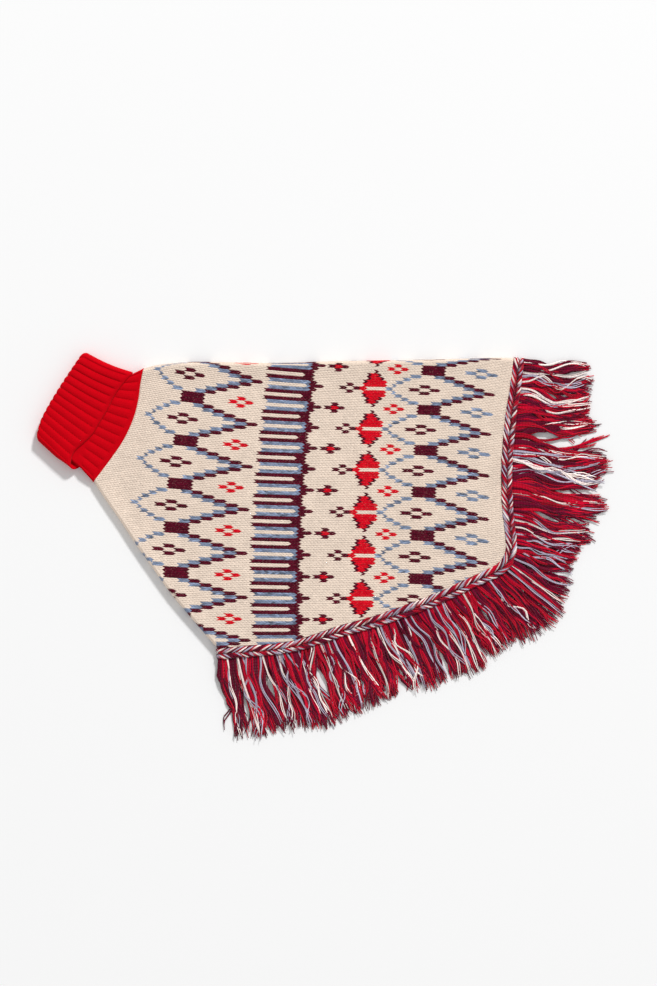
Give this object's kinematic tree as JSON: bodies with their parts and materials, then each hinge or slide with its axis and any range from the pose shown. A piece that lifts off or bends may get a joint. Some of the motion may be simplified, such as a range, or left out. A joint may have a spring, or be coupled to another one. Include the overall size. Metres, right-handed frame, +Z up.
{
  "type": "dog poncho",
  "caption": "Knitted dog poncho laid flat: patterned body folded along the spine, turned-down ribbed neck, braided hem with a yarn fringe.",
  "frame": {"origin": "on the surface it lies on, under the body panel, at the middle of the garment's length and width", "axes": "+X from the collar towards the tail along the spine fold, +Y from the chest towards the spine fold, +Z up from the surface"},
  "size_m": [0.5736, 0.386, 0.0129],
  "materials": {
    "pattern_knit": "matte wool-look jacquard knit, cream with blue, burgundy and red motifs",
    "red_rib": "matte red rib knit",
    "fringe_yarn": "soft plied yarn, burgundy and red mixed with grey-blue and cream"
  },
  "bodies": {
    "root": {"body": "pattern_knit", "collar": "red_rib", "fringe_trim": "fringe_yarn"}
  },
  "joints": []
}
